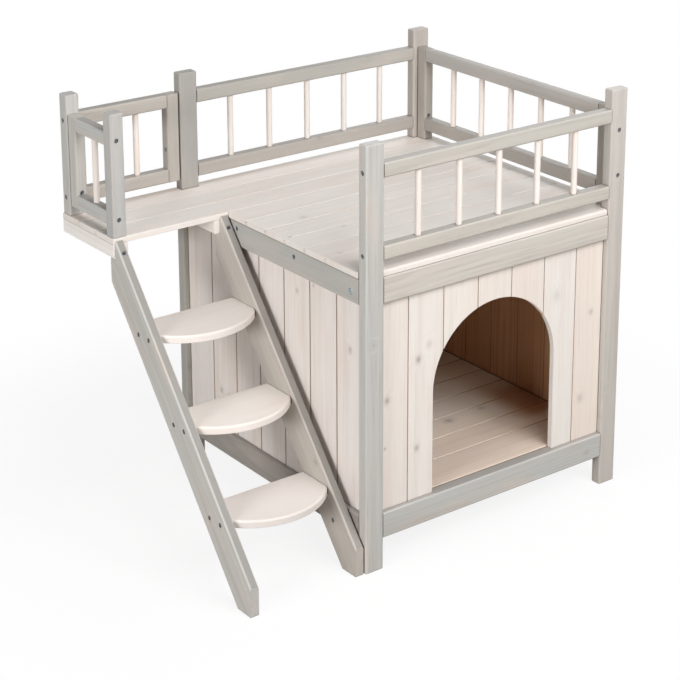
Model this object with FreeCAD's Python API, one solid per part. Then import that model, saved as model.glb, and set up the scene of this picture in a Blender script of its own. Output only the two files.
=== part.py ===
import FreeCAD, Part
import math
import os

# A two-storey wooden cat house: a boarded cabin with an arched doorway, a railed platform on its
# roof, a small balcony beside it, and a ladder with three half-round treads up to the balcony.
# Millimetres. It is worked out from the outer corner of the front left foot: +X to the right
# along the doorway wall, +Y to the back, +Z up. hand_over() then moves every piece so that the
# origin lies on the ground under the middle of the whole.

# Cabin and its four corner posts
house_width = 560.0
house_depth = 555.0
post_height = 730.0
post_width = 36.0
post_depth = 20.0
post_head = 34.0
post_round = 3.0
post_top_bevel = 1.5

# Rails that frame each wall: one under the platform, one above the feet
wall_rail_height = 45.0
wall_rail_thickness = 20.0
wall_rail_easing = 2.0
foot_clearance = 54.0
platform_top = 518.0
plank_thickness = 10.0

# Tongued and grooved boards, let into a rebate in the rails
board_cover = 73.5
board_setback = 10.0
rebate_height = 12.0
rebate_slack = 0.4
tongue_length = 4.0
tongue_thickness = 3.0
tongue_slack = 0.2
seam_gap = 0.5
front_seam_gap = 0.9
side_seam_gap = 1.4
seam_bevel = 0.9
front_first_board = 57.5
side_first_board = 76.0

# Arched doorway in the front wall
door_radius = 134.0
door_spring = 276.0

# Cabin floor: boards on three bearers
floor_top = 101.0
floor_thickness = 10.0
floor_setback = 1.0
floor_cover = 60.0
floor_first_board = 77.0
bearer_width = 20.0
bearer_height = 25.0

# Platform planks, and the cleats and battens under them
plank_cover = 56.25
front_plank_setback = 3.0
plank_overhang = 1.0
plank_nose = 2.5
post_notch_gap = 0.6
cleat_width = 20.0
cleat_height = 40.0
balcony_length = 227.0
balcony_plank_count = 3
batten_width = 28.0
batten_height = 25.0
batten_wall_gap = 2.0

# Guards round the platform: two rails with round spindles between them
guard_rail_height = 24.0
guard_rail_thickness = 20.0
guard_easing = 2.0
guard_low_gap = 18.0
spindle_diameter = 10.5
socket_depth = 8.0
socket_slack = 0.15
spindle_end_gap = 0.5
long_guard_count = 5
balcony_back_count = 2
balcony_side_count = 1
front_spindle_pitch = 84.5
right_spindle_pitch = 80.5
balcony_spindle_pitch = 58.0

# Guard ends: upright stiles, and the balcony's own two posts
stile_width = 24.0
right_guard_inset = 9.0
balcony_post_width = 25.0
balcony_post_depth = 24.0
balcony_post_inset = 1.5
balcony_guard_recess = 1.5
balcony_stile_gap = 2.5

# Ladder
stringer_thickness = 16.0
stringer_width = 62.0
stringer_easing = 2.5
ladder_angle = 50.5
ladder_sole = 39.0
stringer_wall_gap = 2.3
outer_stringer_inset = 3.0
hook_thickness = 16.0
hook_top_drop = 5.0
seat_depth = 15.0
tread_count = 3
tread_thickness = 13.0
tread_depth = 111.5
tread_side = 67.5
tread_easing = 2.5
tread_setback = 3.0
lowest_tread = 131.5
tread_rise = 123.0

# Screw heads, each sunk in a counterbore. Their shanks are hidden and aren't drawn. The front
# one of each side header is a larger head, almost level with the wood
screw_head_diameter = 7.0
screw_head_height = 1.6
screw_sink = 1.8
level_head_diameter = 8.6
level_head_sink = 0.3
counterbore_slack = 0.5
front_stile_low_screw = 58.0
front_stile_top_screw = 39.0
right_stile_screw = 46.0
balcony_back_screw = 77.0
balcony_side_screw = 45.0
header_screws = ((195.5, 29.5), (363.0, 31.0))
level_header_screws = ((41.0, 18.0),)
tread_screw_offsets = (31.0, 62.0)
hook_screw_drop = 23.0

# Small holes and heads have few sides, which keeps the model light
small_round_sides = 12

# Places that follow from the sizes above
plank_under = platform_top - plank_thickness
header_bottom = plank_under - wall_rail_height
sill = foot_clearance + wall_rail_height
inner_face = wall_rail_thickness
wall_length_x = house_width - 2 * post_width
wall_length_y = house_depth - 2 * post_depth
door_middle = house_width / 2
low_rail_bottom = platform_top + guard_low_gap
low_rail_top = low_rail_bottom + guard_rail_height
guard_top = post_height - post_head
top_rail_bottom = guard_top - guard_rail_height
balcony_front = house_depth - balcony_plank_count * plank_cover
balcony_left = -balcony_length
batten_bottom = plank_under - batten_height
inner_stringer_x = -stringer_wall_gap - stringer_thickness
outer_stringer_x = balcony_left + outer_stringer_inset
right_guard_x = house_width - post_width + right_guard_inset
balcony_post_x = balcony_left + balcony_post_inset
balcony_post_right = balcony_post_x + balcony_post_width
balcony_guard_x = balcony_post_x + balcony_guard_recess
back_post_front = house_depth - balcony_post_depth
front_post_back = balcony_front + balcony_post_depth
ladder_slope = math.tan(math.radians(ladder_angle))
hook_front = balcony_front - hook_thickness
hook_corner = platform_top - hook_screw_drop
stringer_across = stringer_width / math.sin(math.radians(ladder_angle))
ladder_heel = hook_front - hook_corner / ladder_slope + stringer_across

pieces = {}


# Helpers

def box(low, high):
    """A plain block between two opposite corners."""
    size = [b - a for a, b in zip(low, high)]
    return Part.makeBox(size[0], size[1], size[2], FreeCAD.Vector(*low))


def edges_along(shape, direction):
    """Straight edges of a shape that run in a direction."""
    found = []
    for edge in shape.Edges:
        if isinstance(edge.Curve, Part.Line):
            run = edge.Vertexes[-1].Point - edge.Vertexes[0].Point
            if run.Length > 0 and abs(abs(run.normalize().dot(direction)) - 1) < 1e-6:
                found.append(edge)
    return found


def long_edges(bar, low, high):
    """Edges that run along a bar's longest way."""
    sizes = [b - a for a, b in zip(low, high)]
    long_way = sizes.index(max(sizes))
    return edges_along(bar, FreeCAD.Vector(*[float(i == long_way) for i in range(3)]))


def timber(low, high, easing):
    """A planed bar with its long edges taken off."""
    bar = box(low, high)
    return bar.makeChamfer(easing, long_edges(bar, low, high))


def post(low, high):
    """An upright with rounded long edges and a bevelled top."""
    bar = box(low, high)
    bar = bar.makeFillet(post_round, long_edges(bar, low, high))
    top = [edge for edge in bar.Edges if edge.BoundBox.ZMin > high[2] - 1e-6]
    return bar.makeChamfer(post_top_bevel, top)


def peg(radius, start, length, way):
    """A small round bar with a few flat sides, whose corners lie on the radius."""
    start = FreeCAD.Vector(*start)
    way = FreeCAD.Vector(*way)
    across = FreeCAD.Vector(0, 0, 1)
    if abs(way.z) > 0.5:
        across = FreeCAD.Vector(1, 0, 0)
    corners = []
    for i in range(small_round_sides):
        turn = FreeCAD.Rotation(way, (i + 0.5) * 360.0 / small_round_sides)
        corners.append(start + turn.multVec(across) * radius)
    outline = Part.makePolygon(corners + [corners[0]])
    return Part.Face(outline).extrude(way * length)


def prism(points, direction):
    """A solid from a closed outline of points, carried along a direction."""
    corners = [FreeCAD.Vector(*p) for p in points]
    outline = Part.makePolygon(corners + [corners[0]])
    return Part.Face(outline).extrude(FreeCAD.Vector(*direction))


def on_side(shape, side):
    """Turn a piece that was made along the front wall to side 0 to 3, walking anticlockwise.

    Its x then runs along that wall from the post it starts at, and its y from the outer face in.
    """
    starts = ((post_width, 0.0), (house_width, post_depth),
              (house_width - post_width, house_depth), (0.0, house_depth - post_depth))
    placed = shape.copy()
    placed.rotate(FreeCAD.Vector(0, 0, 0), FreeCAD.Vector(0, 0, 1), 90.0 * side)
    placed.translate(FreeCAD.Vector(starts[side][0], starts[side][1], 0))
    return placed


def joined(solids):
    """Separate solids that share a node."""
    return Part.makeCompound(solids)


def add(name, shape):
    pieces[name] = shape


# Boards

def board_outline(start, end, face, back, groove, tongue, gap=seam_gap, nose=seam_bevel):
    """Section of one board: bevelled face edges, a groove at its start, a tongue at its end."""
    a = start + (gap / 2 if groove else 0.0)
    b = end - (gap / 2 if tongue else 0.0)
    middle = (face + back) / 2
    half_tongue = tongue_thickness / 2
    half_groove = half_tongue + tongue_slack
    groove_end = a + tongue_length + tongue_slack
    tongue_end = b + tongue_length
    points = [(a + nose, face), (b - seam_bevel, face), (b, face + seam_bevel)]
    if tongue:
        points.extend([(b, middle - half_tongue), (tongue_end, middle - half_tongue)])
        points.extend([(tongue_end, middle + half_tongue), (b, middle + half_tongue)])
    points.extend([(b, back), (a, back)])
    if groove:
        points.extend([(a, middle + half_groove), (groove_end, middle + half_groove)])
        points.extend([(groove_end, middle - half_groove), (a, middle - half_groove)])
    points.append((a, face + nose))
    return points


def board_seams(start, end, first, cover):
    """Where boards of one cover width meet, after a first board of its own width."""
    seams = [start, start + first]
    while seams[-1] + 1.5 * cover < end:
        seams.append(seams[-1] + cover)
    seams.append(end)
    return seams


def wall_boards(length, first, gap):
    """Upright boards of one wall, standing in the rebate of its lower rail."""
    bottom = sill - rebate_height
    top = header_bottom + rebate_height - rebate_slack
    seams = board_seams(0.0, length, first, board_cover)
    last = len(seams) - 1
    boards = []
    for i in range(last):
        outline = board_outline(seams[i], seams[i + 1], board_setback, inner_face,
                                i > 0, i + 1 < last, gap)
        points = [(u, v, bottom) for u, v in outline]
        boards.append(prism(points, (0, 0, top - bottom)))
    return boards


def rebated_rail(length, bottom, rebate_low, stretches):
    """A wall rail with its outer edges taken off, and a rebate behind for the boards' ends."""
    top = bottom + wall_rail_height
    rail = box((0, 0, bottom), (length, wall_rail_thickness, top))
    front_edges = []
    for edge in edges_along(rail, FreeCAD.Vector(1, 0, 0)):
        if edge.Vertexes[0].Point.y < 1e-6:
            front_edges.append(edge)
    rail = rail.makeChamfer(wall_rail_easing, front_edges)
    for start, end in stretches:
        low = (start, board_setback, rebate_low)
        rail = rail.cut(box(low, (end, wall_rail_thickness, rebate_low + rebate_height)))
    return rail


def doorway_cutter():
    """The doorway's outline, an upright rectangle under a half circle, along the front wall."""
    middle = door_middle - post_width
    left = middle - door_radius
    right = middle + door_radius
    sides = [FreeCAD.Vector(left, -1, door_spring), FreeCAD.Vector(left, -1, 0),
             FreeCAD.Vector(right, -1, 0), FreeCAD.Vector(right, -1, door_spring)]
    crown = FreeCAD.Vector(middle, -1, door_spring + door_radius)
    edges = [Part.LineSegment(sides[i], sides[i + 1]).toShape() for i in range(3)]
    edges.append(Part.Arc(sides[3], crown, sides[0]).toShape())
    return Part.Face(Part.Wire(edges)).extrude(FreeCAD.Vector(0, wall_rail_thickness + 1, 0))


def make_walls():
    """Rails and boards of the four walls."""
    door = doorway_cutter()
    for side, name in enumerate(("front", "right", "back", "left")):
        length, first = wall_length_x, front_first_board
        gap = front_seam_gap if name == "front" else side_seam_gap
        if name in ("left", "right"):
            length, first = wall_length_y, side_first_board
        header = rebated_rail(length, header_bottom, header_bottom, [(0, length)])
        stretches = [(0, length)]
        boards = wall_boards(length, first, gap)
        if name == "front":
            middle = door_middle - post_width
            stretches = [(0, middle - door_radius), (middle + door_radius, length)]
            boards = [board.cut(door) for board in boards]
        bottom = rebated_rail(length, foot_clearance, sill - rebate_height, stretches)
        add(name + "_header_rail", on_side(header, side))
        add(name + "_bottom_rail", on_side(bottom, side))
        if name == "front":
            for i, board in enumerate(boards):
                add("front_board_%d" % (i + 1), on_side(board, side))
        else:
            add(name + "_wall_boards", joined([on_side(board, side) for board in boards]))


# Posts

def make_posts():
    """Four corner posts from the ground to above the guards."""
    places = {"front_left": (0.0, 0.0),
              "front_right": (house_width - post_width, 0.0),
              "back_right": (house_width - post_width, house_depth - post_depth),
              "back_left": (0.0, house_depth - post_depth)}
    for name, (x, y) in places.items():
        high = (x + post_width, y + post_depth, post_height)
        add("post_" + name, post((x, y, 0), high))


# Floor and platform

def lying_board(x_span, y_span, top, thickness, groove, tongue, nose=seam_bevel):
    """A board that lies along X, its face upwards, with its seams along the other boards."""
    outline = board_outline(y_span[0], y_span[1], 0.0, thickness, groove, tongue, nose=nose)
    points = [(x_span[0], y, top - depth) for y, depth in outline]
    return prism(points, (x_span[1] - x_span[0], 0, 0))


def make_floor():
    """Floor boards along X, on a bearer at each side and one in the middle."""
    left = inner_face
    right = house_width - inner_face
    front = inner_face + floor_setback
    seams = board_seams(front, house_depth - front, floor_first_board, floor_cover)
    last = len(seams) - 1
    boards = []
    for i in range(last):
        boards.append(lying_board((left, right), seams[i:i + 2], floor_top, floor_thickness,
                                  i > 0, i + 1 < last))
    add("floor_boards", joined(boards))
    bearers = []
    top = floor_top - floor_thickness
    for x in (left, (house_width - bearer_width) / 2, right - bearer_width):
        bearers.append(box((x, inner_face, top - bearer_height),
                           (x + bearer_width, house_depth - inner_face, top)))
    add("floor_bearers", joined(bearers))


def without_posts(plank):
    """Notch a plank round the corner posts, open towards the outside where it ends there."""
    gap = post_notch_gap
    right = house_width - post_width
    back = house_depth - post_depth
    over = plank_overhang + gap
    spans_x = {"left": (-over, post_width + gap), "left of balcony": (-gap, post_width + gap),
               "right": (right - gap, house_width + over)}
    spans_y = {"front": (-gap, post_depth + gap), "back": (back - gap, house_depth + gap)}
    for x_name, y_name in (("left", "front"), ("right", "front"),
                           ("left of balcony", "back"), ("right", "back")):
        x, y = spans_x[x_name], spans_y[y_name]
        plank = plank.cut(box((x[0], y[0], plank_under - gap), (x[1], y[1], platform_top + gap)))
    return plank


def make_platform():
    """Roof planks: one wide one in front, narrow ones, and long ones that carry the balcony."""
    left = -plank_overhang
    right = house_width + plank_overhang
    narrow = int((balcony_front - front_plank_setback) // plank_cover) - 1
    wide_back = balcony_front - narrow * plank_cover
    front = lying_board((left, right), (front_plank_setback, wide_back), platform_top,
                        plank_thickness, False, True, plank_nose)
    add("platform_front_plank", without_posts(front))
    for i in range(narrow):
        start = wide_back + i * plank_cover
        plank = lying_board((left, right), (start, start + plank_cover), platform_top,
                            plank_thickness, True, i + 1 < narrow)
        add("platform_plank_%d" % (i + 1), plank)
    for i in range(balcony_plank_count):
        start = balcony_front + i * plank_cover
        plank = lying_board((balcony_left, right), (start, start + plank_cover), platform_top,
                            plank_thickness, i > 0, i + 1 < balcony_plank_count)
        add("balcony_plank_%d" % (i + 1), without_posts(plank))


def make_battens():
    """Cleats inside the side walls under the planks, and the balcony's two battens."""
    cleats = []
    for x in (inner_face, house_width - inner_face - cleat_width):
        cleats.append(box((x, inner_face, plank_under - cleat_height),
                          (x + cleat_width, house_depth - inner_face, plank_under)))
    add("platform_cleats", joined(cleats))
    spans = {"balcony_fascia_batten": balcony_left,
             "balcony_wall_batten": -batten_wall_gap - batten_width}
    for name, x in spans.items():
        high = (x + batten_width, house_depth, plank_under)
        add(name, timber((x, balcony_front, batten_bottom), high, wall_rail_easing))


# Guards

def guard_rails(length):
    """Lower and upper rail of a guard, along x from 0, outer face at y = 0."""
    rails = []
    for bottom in (low_rail_bottom, top_rail_bottom):
        high = (length, guard_rail_thickness, bottom + guard_rail_height)
        rails.append(timber((0, 0, bottom), high, guard_easing))
    return rails


def spindle_places(length, count, pitch):
    """Spindles at an even pitch, centred on the length."""
    return [length / 2 + (i - (count - 1) / 2) * pitch for i in range(count)]


def make_guard(length, count, pitch):
    """Rails with drilled sockets, and the spindles that stand in them."""
    rails = guard_rails(length)
    middle = guard_rail_thickness / 2
    foot = low_rail_top - socket_depth
    head = top_rail_bottom + socket_depth
    radius = spindle_diameter / 2
    spindles = []
    hole_radius = (radius + socket_slack) / math.cos(math.pi / small_round_sides)
    for x in spindle_places(length, count, pitch):
        hole = peg(hole_radius, (x, middle, foot), head - foot, (0, 0, 1))
        rails = [rail.cut(hole) for rail in rails]
        spindles.append(Part.makeCylinder(radius, head - foot - spindle_end_gap,
                                          FreeCAD.Vector(x, middle, foot)))
    return rails, spindles


def placed(shapes, x, y, turn):
    """Copies of pieces, turned about the upright axis and moved."""
    moved = []
    for shape in shapes:
        copy = shape.copy()
        copy.rotate(FreeCAD.Vector(0, 0, 0), FreeCAD.Vector(0, 0, 1), turn)
        copy.translate(FreeCAD.Vector(x, y, 0))
        moved.append(copy)
    return moved


def make_long_guards():
    """Guards between the posts at the front and the back."""
    for side, name in ((0, "front"), (2, "back")):
        rails, spindles = make_guard(wall_length_x, long_guard_count, front_spindle_pitch)
        add(name + "_guard_low_rail", on_side(rails[0], side))
        add(name + "_guard_top_rail", on_side(rails[1], side))
        add(name + "_guard_spindles", joined([on_side(s, side) for s in spindles]))


def make_right_guard():
    """A framed panel: its stiles stand on the platform, against the two right-hand posts."""
    start = post_depth
    end = house_depth - post_depth
    left = right_guard_x
    right = right_guard_x + guard_rail_thickness
    stiles = []
    for y in (start, end - stile_width):
        high = (right, y + stile_width, guard_top)
        stiles.append(timber((left, y, platform_top), high, guard_easing))
    add("right_guard_stiles", joined(stiles))
    length = end - start - 2 * stile_width
    rails, spindles = make_guard(length, long_guard_count, right_spindle_pitch)
    rails = placed(rails, right, start + stile_width, 90)
    add("right_guard_low_rail", rails[0])
    add("right_guard_top_rail", rails[1])
    add("right_guard_spindles", joined(placed(spindles, right, start + stile_width, 90)))


def make_balcony_guards():
    """The balcony's posts, its back panel and its side panel, each with a stile."""
    x = balcony_post_x
    for name, y in (("balcony_post_front", balcony_front), ("balcony_post_back", back_post_front)):
        high = (x + balcony_post_width, y + balcony_post_depth, post_height)
        add(name, post((x, y, platform_top), high))

    back_face = house_depth - guard_rail_thickness
    stile_right = -balcony_stile_gap
    stile_left = stile_right - stile_width
    add("balcony_back_stile", timber((stile_left, back_face, low_rail_bottom),
                                     (stile_right, house_depth, guard_top), guard_easing))
    rails, spindles = make_guard(stile_left - balcony_post_right, balcony_back_count,
                                 balcony_spindle_pitch)
    add("balcony_back_rails", joined(placed(rails, balcony_post_right, back_face, 0)))
    add("balcony_back_spindles", joined(placed(spindles, balcony_post_right, back_face, 0)))

    side_right = balcony_guard_x + guard_rail_thickness
    stile_front = back_post_front - stile_width
    add("balcony_side_stile", timber((balcony_guard_x, stile_front, low_rail_bottom),
                                     (side_right, back_post_front, guard_top), guard_easing))
    rails, spindles = make_guard(stile_front - front_post_back, balcony_side_count,
                                 balcony_spindle_pitch)
    add("balcony_side_rails", joined(placed(rails, side_right, front_post_back, 90)))
    add("balcony_side_spindle", joined(placed(spindles, side_right, front_post_back, 90)))


# Ladder

def stringer(x):
    """A sloping bar with its edges taken off, cut level at the foot and upright at front and back.

    Its top hooks over the balcony's edge: an upright face against the planks, and a seat under
    the batten.
    """
    before = 2 * stringer_width
    length = platform_top / math.sin(math.radians(ladder_angle)) + 2 * before
    bar = timber((x, 0, 0), (x + stringer_thickness, length, stringer_width), stringer_easing)
    bar.translate(FreeCAD.Vector(0, -before, 0))
    bar.rotate(FreeCAD.Vector(0, 0, 0), FreeCAD.Vector(1, 0, 0), ladder_angle)
    bar.translate(FreeCAD.Vector(0, ladder_heel, 0))
    toe = ladder_heel - ladder_sole
    seat_back = balcony_front + seat_depth
    hook_top = platform_top - hook_top_drop
    profile = [(toe, 0), (seat_back, 0), (seat_back, batten_bottom),
               (balcony_front, batten_bottom), (balcony_front, hook_top),
               (hook_front, hook_top), (hook_front, hook_corner), (toe, hook_corner)]
    outline = [(x, y, z) for y, z in profile]
    return bar.common(prism(outline, (stringer_thickness, 0, 0)))


def tread(left, right, back, top):
    """A D-shaped step: straight back and short straight ends, and a curved front."""
    bottom = top - tread_thickness
    side_front = back - tread_side
    crown = FreeCAD.Vector((left + right) / 2, back - tread_depth, bottom)
    corners = [FreeCAD.Vector(left, side_front, bottom), FreeCAD.Vector(left, back, bottom),
               FreeCAD.Vector(right, back, bottom), FreeCAD.Vector(right, side_front, bottom)]
    edges = [Part.LineSegment(corners[i], corners[i + 1]).toShape() for i in range(3)]
    edges.append(Part.Arc(corners[3], crown, corners[0]).toShape())
    step = Part.Face(Part.Wire(edges)).extrude(FreeCAD.Vector(0, 0, tread_thickness))
    upper = []
    for edge in step.Edges:
        if isinstance(edge.Curve, Part.Circle) and edge.BoundBox.ZMin > bottom + tread_easing:
            upper.append(edge)
    return step.makeChamfer(tread_easing, upper)


def tread_places():
    """Height of each tread's top and Y of its back edge, just inside the stringers' slope."""
    tops = [lowest_tread + i * tread_rise for i in range(tread_count)]
    return [(top, ladder_heel + top / ladder_slope - tread_setback) for top in tops]


def make_ladder():
    """Two stringers, and the treads between them from the lowest up."""
    add("ladder_outer_stringer", stringer(outer_stringer_x))
    add("ladder_inner_stringer", stringer(inner_stringer_x))
    left = outer_stringer_x + stringer_thickness
    for i, (top, back) in enumerate(tread_places()):
        add("ladder_tread_%d" % (i + 1), tread(left, inner_stringer_x, back, top))


# Screws

def guard_screw_places():
    """Where screws hold the guards: a point on the surface and the way in."""
    right = (1, 0, 0)
    left = (-1, 0, 0)
    back = (0, 1, 0)
    rail_middle = guard_rail_thickness / 2
    back_guard_y = house_depth - rail_middle
    side_guard_x = balcony_guard_x + rail_middle
    places = []
    for bottom in (low_rail_bottom, top_rail_bottom):
        z = bottom + guard_rail_height / 2
        for y in (rail_middle, back_guard_y):
            places.append(((0, y, z), right))
            places.append(((house_width, y, z), left))
        places.append(((balcony_post_x, back_guard_y, z), right))
        places.append(((side_guard_x, balcony_front, z), back))
    right_middle = right_guard_x + rail_middle
    places.append(((right_middle, 0, platform_top + front_stile_low_screw), back))
    places.append(((right_middle, 0, guard_top - front_stile_top_screw), back))
    right_stile_y = house_depth - post_depth - stile_width
    places.append(((right_middle, right_stile_y, platform_top + right_stile_screw), back))
    back_stile_x = -balcony_stile_gap - stile_width
    places.append(((back_stile_x, back_guard_y, platform_top + balcony_back_screw), right))
    side_stile_y = back_post_front - stile_width
    places.append(((side_guard_x, side_stile_y, platform_top + balcony_side_screw), back))
    return places


def header_screw_places(heights):
    """Where screws go through the side headers into the cleats, on both sides."""
    places = []
    for y, height in heights:
        places.append(((0, y, header_bottom + height), (1, 0, 0)))
        places.append(((house_width, y, header_bottom + height), (-1, 0, 0)))
    return places


def ladder_screw_places():
    """Where screws hold the ladder and its treads."""
    right = (1, 0, 0)
    left = (-1, 0, 0)
    places = []
    for x in (outer_stringer_x, inner_stringer_x):
        middle = x + stringer_thickness / 2
        places.append(((middle, hook_front, hook_corner), (0, 1, 0)))
    house_side = inner_stringer_x + stringer_thickness
    for top, tread_back in tread_places():
        for offset in tread_screw_offsets:
            y = tread_back - offset
            z = top - tread_thickness / 2
            places.append(((outer_stringer_x, y, z), right))
            places.append(((house_side, y, z), left))
    foot_z = foot_clearance + wall_rail_height / 2
    foot_y = ladder_heel + foot_z / ladder_slope - stringer_across / 2
    places.append(((inner_stringer_x, foot_y, foot_z), right))
    return places


def sunk_heads(places, diameter, sink):
    """Screw heads of one kind, after cutting the counterbores that they lie in."""
    radius = diameter / 2
    depth = sink + screw_head_height
    heads = []
    for point, way in places:
        start = FreeCAD.Vector(*point)
        inward = FreeCAD.Vector(*way)
        bore = peg(radius + counterbore_slack, start - inward, depth + inward.Length, way)
        for name, shape in list(pieces.items()):
            if shape.BoundBox.intersect(bore.BoundBox):
                pieces[name] = shape.cut(bore)
        heads.append(peg(radius, start + inward * sink, screw_head_height, way))
    return heads


def make_screws():
    """All the screw heads, sunk ones and level ones."""
    places = guard_screw_places() + ladder_screw_places() + header_screw_places(header_screws)
    level_places = header_screw_places(level_header_screws)
    heads = sunk_heads(places, screw_head_diameter, screw_sink)
    heads += sunk_heads(level_places, level_head_diameter, level_head_sink)
    add("screw_heads", joined(heads))


def hand_over():
    """Move the origin under the middle of the whole, and write one file per piece."""
    os.makedirs("parts", exist_ok=True)
    left = balcony_left
    right = house_width + plank_overhang
    shift = FreeCAD.Vector(-(left + right) / 2, -house_depth / 2, 0)
    triangles = 0
    for name, shape in pieces.items():
        shape = shape.copy()
        shape.translate(shift)
        solids = shape.Solids
        if not shape.isValid() or not solids:
            raise RuntimeError(name + " is not a valid solid")
        shape = solids[0] if len(solids) == 1 else joined(solids)
        shape.exportStep("parts/%s.step" % name)
        triangles += len(shape.tessellate(0.1)[1])
    print(len(pieces), "pieces,", triangles, "triangles at 0.1 mm")


make_posts()
make_walls()
make_floor()
make_platform()
make_battens()
make_long_guards()
make_right_guard()
make_balcony_guards()
make_ladder()
make_screws()
hand_over()
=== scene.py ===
# %% [markdown]
# A wooden cat house: a boarded cabin with an arched doorway, a railed platform on its roof, a
# small balcony at its side and a ladder up to it. The construction is already made, so this
# lesson dresses it: it loads the pieces, eases their edges, works out a pine finish for each of
# them, turns the screw heads, and sets the light and the camera.

import math
from types import SimpleNamespace

import bpy
import bmesh
import numpy as np
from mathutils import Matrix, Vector
from mathutils.bvhtree import BVHTree


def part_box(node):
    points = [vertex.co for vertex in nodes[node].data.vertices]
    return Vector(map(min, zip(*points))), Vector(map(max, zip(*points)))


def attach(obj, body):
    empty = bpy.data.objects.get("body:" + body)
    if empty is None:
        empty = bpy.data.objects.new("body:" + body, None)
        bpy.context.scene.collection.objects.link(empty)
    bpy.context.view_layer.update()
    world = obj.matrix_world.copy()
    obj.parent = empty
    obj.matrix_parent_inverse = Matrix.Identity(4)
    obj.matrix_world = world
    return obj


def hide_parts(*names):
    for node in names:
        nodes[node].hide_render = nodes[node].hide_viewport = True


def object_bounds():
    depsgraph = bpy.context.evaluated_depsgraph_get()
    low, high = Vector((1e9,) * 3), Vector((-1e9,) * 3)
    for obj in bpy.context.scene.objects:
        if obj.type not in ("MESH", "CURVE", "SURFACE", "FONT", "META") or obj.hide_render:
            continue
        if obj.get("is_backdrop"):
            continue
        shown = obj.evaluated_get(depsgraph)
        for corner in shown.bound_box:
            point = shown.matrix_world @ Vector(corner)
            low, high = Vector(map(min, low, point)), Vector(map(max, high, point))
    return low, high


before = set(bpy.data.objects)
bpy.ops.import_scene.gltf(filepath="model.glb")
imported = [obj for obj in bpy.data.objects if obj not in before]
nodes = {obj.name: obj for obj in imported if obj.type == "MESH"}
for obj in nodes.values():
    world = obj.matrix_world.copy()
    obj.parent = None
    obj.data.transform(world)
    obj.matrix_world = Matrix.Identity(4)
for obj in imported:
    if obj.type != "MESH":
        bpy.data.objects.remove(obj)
cad_low, cad_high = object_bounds()
print("pieces in the frame:", len(nodes))
print("size in metres:", [round(b - a, 3) for a, b in zip(cad_low, cad_high)])

# %% [markdown]
# Sawn and sanded pine never has a knife edge. The pieces arrive as loose triangles, so a Weld
# joins them, a Decimate set to Dissolve makes each flat side one face again, and a narrow Bevel
# then rounds what is left: a little on boards, planks and spindles, more on the timbers of the
# frame. Where two pieces meet, the two rounded edges make the fine dark line that a joiner's
# butt joint has. Modifiers do this without touching the meshes themselves.

# %% Ease the edges
weld_reach = 1e-6
flat_angle = math.radians(1.0)
sharp_angle = math.radians(40.0)
ease_width = 0.0007
frame_ease_width = 0.0012
ease_steps = 2
frame_words = ("post", "rail", "stile", "stringer")


def ease_edges(piece):
    """Weld, dissolve, bevel, and normals that follow the large faces."""
    weld = piece.modifiers.new("weld", "WELD")
    weld.merge_threshold = weld_reach
    flat = piece.modifiers.new("flat", "DECIMATE")
    flat.decimate_type = "DISSOLVE"
    flat.angle_limit = flat_angle
    ease = piece.modifiers.new("ease", "BEVEL")
    framing = any(word in piece.name for word in frame_words)
    ease.width = frame_ease_width if framing else ease_width
    ease.segments = ease_steps
    ease.limit_method = "ANGLE"
    ease.angle_limit = sharp_angle
    normals = piece.modifiers.new("normals", "WEIGHTED_NORMAL")
    normals.keep_sharp = True


timbers = sorted(name for name in nodes if name != "screw_heads")
for name in timbers:
    ease_edges(nodes[name])
print("pieces with eased edges:", len(timbers))

# %% [markdown]
# A finish is a sheet of nodes. Written out by hand, a sum of two noises takes a dozen lines, so
# this class wraps a socket and lets Python's own operators add the Math nodes. `1 - mask` works
# too, because each operator has its reflected form.

# %% Shader maths
class Wire:
    """A socket of a material that can stand in an expression as if it were a number."""

    def __init__(self, paint, socket):
        self.paint = paint
        self.socket = socket

    def math(self, operation, *values):
        numbered = dict(enumerate(values))
        return self.paint.node("Math", {"operation": operation}, numbered)

    def __add__(self, other):
        return self.math("ADD", self, other)

    def __sub__(self, other):
        return self.math("SUBTRACT", self, other)

    def __mul__(self, other):
        return self.math("MULTIPLY", self, other)

    def __truediv__(self, other):
        return self.math("DIVIDE", self, other)

    def __pow__(self, other):
        return self.math("POWER", self, other)

    def __gt__(self, other):
        return self.math("GREATER_THAN", self, other)

    def __lt__(self, other):
        return self.math("LESS_THAN", self, other)

    def __abs__(self):
        return self.math("ABSOLUTE", self)

    def __radd__(self, other):
        return self.math("ADD", other, self)

    def __rsub__(self, other):
        return self.math("SUBTRACT", other, self)

    def __rmul__(self, other):
        return self.math("MULTIPLY", other, self)

    def floor(self):
        return self.math("FLOOR", self)

    def most(self, other):
        return self.math("MAXIMUM", self, other)

    def least(self, other):
        return self.math("MINIMUM", self, other)

    def ramp(self, low, high):
        """0 below low, 1 above high, and a smooth rise between them."""
        values = {"Value": self, "From Min": low, "From Max": high}
        return self.paint.node("MapRange", {"interpolation_type": "SMOOTHSTEP"}, values)


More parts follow.
